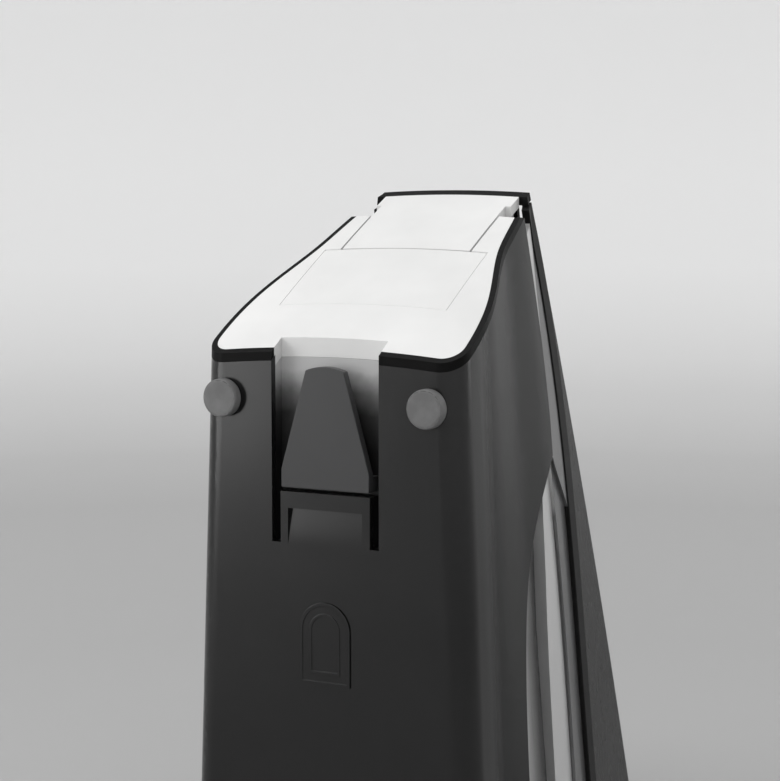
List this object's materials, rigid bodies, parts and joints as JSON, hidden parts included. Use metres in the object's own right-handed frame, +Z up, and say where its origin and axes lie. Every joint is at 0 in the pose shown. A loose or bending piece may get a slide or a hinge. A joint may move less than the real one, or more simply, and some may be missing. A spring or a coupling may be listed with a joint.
{
  "type": "electric can opener",
  "caption": "Upright electric can opener with a lifting cutter lever, magnet arm, geared motor drive and a crown-cap opener in its rear face.",
  "frame": {"origin": "on the floor, under the middle of the whole object's box", "axes": "+Z up, +Y out of the rear face, -Y towards the cutter, +X to the right seen from the front"},
  "size_m": [0.113, 0.15, 0.2397],
  "materials": {
    "housing": "satin moulded plastic",
    "trim": "gloss black plastic",
    "cover": "gloss white plastic",
    "label": "satin white plastic",
    "pocket": "satin grey plastic",
    "hook": "dark painted steel",
    "shell": "silver painted plastic",
    "recess": "dark matt plastic",
    "fascia": "dark grey plastic",
    "lever_rim": "dark grey plastic",
    "bumper": "grey rubber",
    "foot": "black rubber",
    "steel": "bright steel",
    "cutter_steel": "polished steel",
    "brass": "sintered bronze",
    "copper": "enamelled copper wire",
    "gear_plastic": "natural acetal",
    "magnet": "sintered magnet",
    "switch_body": "black phenolic",
    "switch_button": "red plastic"
  },
  "bodies": {
    "casing": {"rear_housing": "housing", "top_trim": "trim", "top_cover": "cover", "label_plate": "label", "opener_pocket": "pocket", "cap_hook": "hook", "rear_badge": "housing", "front_shell": "shell", "recess_panels": "recess", "side_bands": "trim", "front_fascia": "fascia", "base_plate": "recess", "base_feet": "foot", "rear_bumpers": "bumper", "base_screws": "steel", "cord_gland": "foot", "lever_pivot_pin": "steel", "rim_guides": "steel", "rear_gear_plate": "steel", "front_gear_plate": "steel", "plate_pillars": "steel", "drive_bushing": "brass", "motor_stator": "steel", "motor_coils": "copper", "motor_bracket": "steel", "motor_studs": "steel", "motor_bearings": "brass", "micro_switch": "switch_body", "switch_shelf": "steel"},
    "lever": {"lever_arm": "cover", "lever_front": "lever_rim", "cutter_axle": "steel", "cutter_cap": "steel", "magnet_pivot_pin": "steel"},
    "cutter": {"cutter_wheel": "cutter_steel"},
    "magnet_arm": {"magnet_arm": "steel", "magnet_cup": "steel", "lid_magnet": "magnet"},
    "drive_train": {"drive_wheel": "steel", "drive_shaft": "steel", "output_gear": "gear_plastic"},
    "second_idler": {"second_gear": "gear_plastic", "second_pinion": "steel", "second_shaft": "steel"},
    "first_idler": {"first_gear": "gear_plastic", "first_pinion": "steel", "first_shaft": "steel"},
    "rotor": {"motor_rotor": "steel", "motor_shaft": "steel", "motor_pinion": "steel", "cooling_fan": "switch_body"},
    "button": {"switch_button": "switch_button"}
  },
  "joints": [
    {"name": "lever_lift", "type": "hinge", "parent": "casing", "child": "lever", "pos_m": [0, 0.007, 0.22155], "axis": [-1, 0, 0], "range_deg": [-1, 38]},
    {"name": "cutter_spin", "type": "hinge", "parent": "lever", "child": "cutter", "pos_m": [0, -0.0465, 0.19215], "axis": [0, -1, 0], "continuous": true},
    {"name": "magnet_swing", "type": "hinge", "parent": "lever", "child": "magnet_arm", "pos_m": [0, -0.03343, 0.214], "axis": [-1, 0, 0], "range_deg": [0, 30]},
    {"name": "drive_spin", "type": "hinge", "parent": "casing", "child": "drive_train", "pos_m": [0, 0, 0.177], "axis": [0, -1, 0], "continuous": true},
    {"name": "second_idler_spin", "type": "hinge", "parent": "casing", "child": "second_idler", "pos_m": [-0.01, 0, 0.15518], "axis": [0, -1, 0], "continuous": true},
    {"name": "first_idler_spin", "type": "hinge", "parent": "casing", "child": "first_idler", "pos_m": [0.004, 0, 0.13821], "axis": [0, -1, 0], "continuous": true},
    {"name": "rotor_spin", "type": "hinge", "parent": "casing", "child": "rotor", "pos_m": [0, 0, 0.11862], "axis": [0, -1, 0], "continuous": true},
    {"name": "button_press", "type": "slide", "parent": "casing", "child": "button", "axis": [0, 0, -1], "range_m": [0, 0.0012], "stiffness_N_per_m": 200, "springref_m": -0.001}
  ],
  "couplings": [
    {"joint": "second_idler_spin", "follows": "drive_spin", "ratio": -3},
    {"joint": "first_idler_spin", "follows": "drive_spin", "ratio": 12},
    {"joint": "rotor_spin", "follows": "drive_spin", "ratio": -48}
  ]
}
